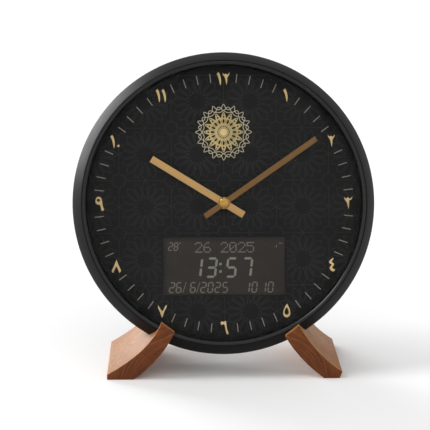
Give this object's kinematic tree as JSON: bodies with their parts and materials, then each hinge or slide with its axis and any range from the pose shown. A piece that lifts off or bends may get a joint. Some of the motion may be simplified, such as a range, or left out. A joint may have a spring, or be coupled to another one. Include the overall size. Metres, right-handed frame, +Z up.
{
  "type": "desk clock with digital display",
  "caption": "Round black azan clock with numeral dial, two brass hands and a digital display, leaning back on two curved wooden feet.",
  "frame": {"origin": "middle of the whole clock's footprint box, on the surface that the feet stand on", "axes": "+Z up, +X to the right as seen from the front, the dial faces -Y and leans back 13 degrees"},
  "size_m": [0.25, 0.102, 0.2578],
  "materials": {
    "black_plastic": "satin black moulding",
    "black_trim": "semi-gloss black ring",
    "lens_glass": "clear flat lens",
    "dial_print": "matt black print with tone-on-tone lattice and gold numerals",
    "grey_plastic": "dark grey moulding",
    "white_plastic": "natural acetal wheels",
    "display": "dark reversed liquid crystal glass",
    "rubber": "soft black rubber",
    "circuit_board": "green solder mask",
    "chip": "black package",
    "hour_brass": "satin light brass",
    "minute_bronze": "satin darker bronze",
    "polished_brass": "polished",
    "steel": "zinc plated",
    "copper_wire": "enamelled copper winding",
    "magnet": "dull ferrite",
    "cell_sleeve": "printed cell sleeve",
    "speaker_paper": "black paper cone",
    "foot_wood": "oiled reddish brown hardwood with open grain"
  },
  "bodies": {
    "clock": {"case_tub": "black_plastic", "lens_ring": "black_trim", "front_lens": "lens_glass", "dial_plate": "dial_print", "chassis_plate": "grey_plastic", "lcd_panel": "display", "lcd_frame": "grey_plastic", "display_connector": "rubber", "main_board": "circuit_board", "clock_chip": "chip", "sound_chip": "chip", "threaded_bush": "polished_brass", "dial_nut": "polished_brass", "dial_washer": "rubber", "movement_housing": "black_plastic", "movement_lid": "grey_plastic", "motor_stator": "steel", "motor_coil": "copper_wire", "movement_battery": "cell_sleeve", "battery_1": "cell_sleeve", "battery_2": "cell_sleeve", "battery_3": "cell_sleeve", "left_contacts": "steel", "right_contacts": "steel", "rear_cover": "black_plastic", "key_board": "circuit_board", "speaker_frame": "steel", "speaker_cone": "speaker_paper", "speaker_magnet": "magnet", "case_screw_1": "steel", "case_screw_2": "steel", "case_screw_3": "steel", "case_screw_4": "steel", "left_foot": "foot_wood", "right_foot": "foot_wood"},
    "minute_hand": {"minute_hand": "minute_bronze", "hand_cap": "polished_brass", "minute_arbor": "steel"},
    "hour_hand": {"hour_hand": "hour_brass", "hour_wheel": "white_plastic"},
    "minute_wheel": {"minute_wheel": "white_plastic"},
    "time_setter": {"setting_pinion": "white_plastic", "setting_knob": "black_plastic"},
    "motor_rotor": {"motor_rotor": "magnet"},
    "battery_door": {"battery_door": "black_plastic"},
    "button_1": {"rear_button_1": "grey_plastic"},
    "button_2": {"rear_button_2": "grey_plastic"},
    "button_3": {"rear_button_3": "grey_plastic"},
    "button_4": {"rear_button_4": "grey_plastic"},
    "button_5": {"rear_button_5": "grey_plastic"},
    "button_6": {"rear_button_6": "grey_plastic"}
  },
  "joints": [
    {"name": "minute_hand_turn", "type": "hinge", "parent": "clock", "child": "minute_hand", "pos_m": [0, -0.01001, 0.138], "axis": [0, 0.9744, -0.225], "continuous": true},
    {"name": "hour_hand_turn", "type": "hinge", "parent": "clock", "child": "hour_hand", "pos_m": [0, -0.01001, 0.138], "axis": [0, 0.9744, -0.225], "continuous": true},
    {"name": "minute_wheel_turn", "type": "hinge", "parent": "clock", "child": "minute_wheel", "pos_m": [0, -0.01163, 0.13098], "axis": [0, 0.9744, -0.225], "continuous": true},
    {"name": "setting_knob_turn", "type": "hinge", "parent": "clock", "child": "time_setter", "pos_m": [0, -0.01325, 0.12397], "axis": [0, 0.9744, -0.225], "continuous": true},
    {"name": "motor_rotor_turn", "type": "hinge", "parent": "clock", "child": "motor_rotor", "pos_m": [0.012, -0.01285, 0.12572], "axis": [0, 0.9744, -0.225], "continuous": true},
    {"name": "battery_door_slide", "type": "slide", "parent": "clock", "child": "battery_door", "axis": [0, -0.225, -0.9744], "range_m": [0, 0.025]},
    {"name": "button_1_press", "type": "slide", "parent": "clock", "child": "button_1", "axis": [0, -0.9744, 0.225], "range_m": [0, 0.001], "stiffness_N_per_m": 800, "springref_m": -0.0006},
    {"name": "button_2_press", "type": "slide", "parent": "clock", "child": "button_2", "axis": [0, -0.9744, 0.225], "range_m": [0, 0.001], "stiffness_N_per_m": 800, "springref_m": -0.0006},
    {"name": "button_3_press", "type": "slide", "parent": "clock", "child": "button_3", "axis": [0, -0.9744, 0.225], "range_m": [0, 0.001], "stiffness_N_per_m": 800, "springref_m": -0.0006},
    {"name": "button_4_press", "type": "slide", "parent": "clock", "child": "button_4", "axis": [0, -0.9744, 0.225], "range_m": [0, 0.001], "stiffness_N_per_m": 800, "springref_m": -0.0006},
    {"name": "button_5_press", "type": "slide", "parent": "clock", "child": "button_5", "axis": [0, -0.9744, 0.225], "range_m": [0, 0.001], "stiffness_N_per_m": 800, "springref_m": -0.0006},
    {"name": "button_6_press", "type": "slide", "parent": "clock", "child": "button_6", "axis": [0, -0.9744, 0.225], "range_m": [0, 0.001], "stiffness_N_per_m": 800, "springref_m": -0.0006}
  ],
  "couplings": [
    {"joint": "hour_hand_turn", "follows": "minute_hand_turn", "ratio": 0.083333},
    {"joint": "minute_wheel_turn", "follows": "minute_hand_turn", "ratio": -0.33333},
    {"joint": "setting_knob_turn", "follows": "minute_hand_turn", "ratio": 1}
  ]
}
